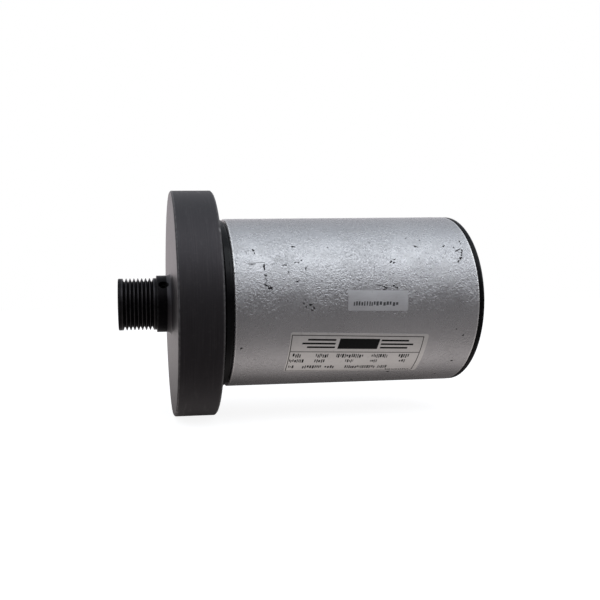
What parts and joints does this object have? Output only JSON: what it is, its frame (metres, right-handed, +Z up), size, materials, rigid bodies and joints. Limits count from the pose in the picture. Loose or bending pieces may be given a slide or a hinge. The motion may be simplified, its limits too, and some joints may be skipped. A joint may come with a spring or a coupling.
{
  "type": "flywheel motor",
  "caption": "Cylindrical permanent-magnet DC motor with a heavy flywheel and a small ribbed belt pulley on its shaft, for driving a belt.",
  "frame": {"origin": "on the shaft axis, in the middle plane of the pulley's eight belt grooves", "axes": "+X along the shaft from the pulley towards the rear end shield; +Z up with the shaft level; -Y is the side with the name plate, and the tapped mounting holes face +Y"},
  "size_m": [0.2214, 0.136, 0.136],
  "materials": {
    "can_paint": "silver hammer-finish paint over steel",
    "shield_black": "gloss black paint on cast aluminium",
    "flywheel_black": "black oxide on turned cast iron",
    "screw_black": "black oxide steel",
    "ferrite": "ground ferrite",
    "spring_steel": "bright spring steel",
    "zinc_steel": "zinc plated",
    "bearing_steel": "ground bearing steel",
    "cage_brass": "pressed brass",
    "seal_rubber": "moulded rubber",
    "shaft_steel": "ground steel",
    "core_steel": "stacked electrical steel",
    "slot_paper": "insulating paper",
    "wedge_fibre": "vulcanised fibre",
    "winding_copper": "enamelled copper wire with varnish",
    "bar_copper": "turned copper",
    "phenolic": "moulded phenolic",
    "card_board": "laminated phenolic board",
    "brush_brass": "stamped brass",
    "carbon": "carbon graphite",
    "protector_black": "moulded",
    "lead_red_pvc": "extruded insulation",
    "lead_black_pvc": "extruded insulation",
    "lead_blue_pvc": "extruded insulation",
    "terminal_brass": "tin-flashed brass",
    "sleeve_red": "vinyl",
    "nylon_white": "nylon",
    "foil_plate": "satin printed foil",
    "foil_label": "satin foil"
  },
  "bodies": {
    "stator": {"housing_can": "can_paint", "front_end_shield": "shield_black", "rear_end_shield": "shield_black", "magnet_upper": "ferrite", "magnet_lower": "ferrite", "magnet_clips": "spring_steel", "through_bolts": "zinc_steel", "bolt_lock_washers": "zinc_steel", "front_bearing_outer_race": "bearing_steel", "front_bearing_seals": "seal_rubber", "bearing_circlip": "spring_steel", "rear_bearing_outer_race": "bearing_steel", "rear_bearing_seals": "seal_rubber", "preload_washer": "spring_steel", "brush_card": "card_board", "brush_card_screws": "zinc_steel", "brush_holder_upper": "brush_brass", "brush_holder_lower": "brush_brass", "brush_spring_upper": "spring_steel", "brush_spring_lower": "spring_steel", "brush_end_caps": "brush_brass", "brush_jumpers": "winding_copper", "thermal_protector": "protector_black", "lead_grommet": "seal_rubber", "lead_red": "lead_red_pvc", "lead_black": "lead_black_pvc", "thermal_leads": "lead_blue_pvc", "lead_terminals": "terminal_brass", "terminal_sleeves": "sleeve_red", "thermal_connector": "nylon_white", "nameplate": "foil_plate", "serial_label": "foil_label"},
    "rotor": {"motor_shaft": "shaft_steel", "flywheel_pulley": "flywheel_black", "flywheel_set_screw": "screw_black", "armature_core": "core_steel", "slot_liners": "slot_paper", "slot_wedges": "wedge_fibre", "front_end_insulator": "slot_paper", "rear_end_insulator": "slot_paper", "armature_winding": "winding_copper", "commutator_bars": "bar_copper", "commutator_core": "phenolic", "front_bearing_inner_race": "bearing_steel", "rear_bearing_inner_race": "bearing_steel"},
    "front_cage": {"front_bearing_cage": "cage_brass", "front_bearing_balls": "bearing_steel"},
    "rear_cage": {"rear_bearing_cage": "cage_brass", "rear_bearing_balls": "bearing_steel"},
    "upper_brush": {"carbon_brush_upper": "carbon"},
    "lower_brush": {"carbon_brush_lower": "carbon"}
  },
  "joints": [
    {"name": "rotor_spin", "type": "hinge", "parent": "stator", "child": "rotor", "pos_m": [0, 0, 0], "axis": [1, 0, 0], "continuous": true},
    {"name": "front_cage_spin", "type": "hinge", "parent": "stator", "child": "front_cage", "pos_m": [0.0545, 0, 0], "axis": [1, 0, 0], "continuous": true},
    {"name": "rear_cage_spin", "type": "hinge", "parent": "stator", "child": "rear_cage", "pos_m": [0.18945, 0, 0], "axis": [1, 0, 0], "continuous": true},
    {"name": "upper_brush_slide", "type": "slide", "parent": "stator", "child": "upper_brush", "axis": [0, 0, 1], "range_m": [0, 0.003], "deforming": ["brush_spring_upper"]},
    {"name": "lower_brush_slide", "type": "slide", "parent": "stator", "child": "lower_brush", "axis": [0, 0, -1], "range_m": [0, 0.003], "deforming": ["brush_spring_lower"]}
  ],
  "couplings": [
    {"joint": "front_cage_spin", "follows": "rotor_spin", "ratio": 0.3818},
    {"joint": "rear_cage_spin", "follows": "rotor_spin", "ratio": 0.3645}
  ]
}
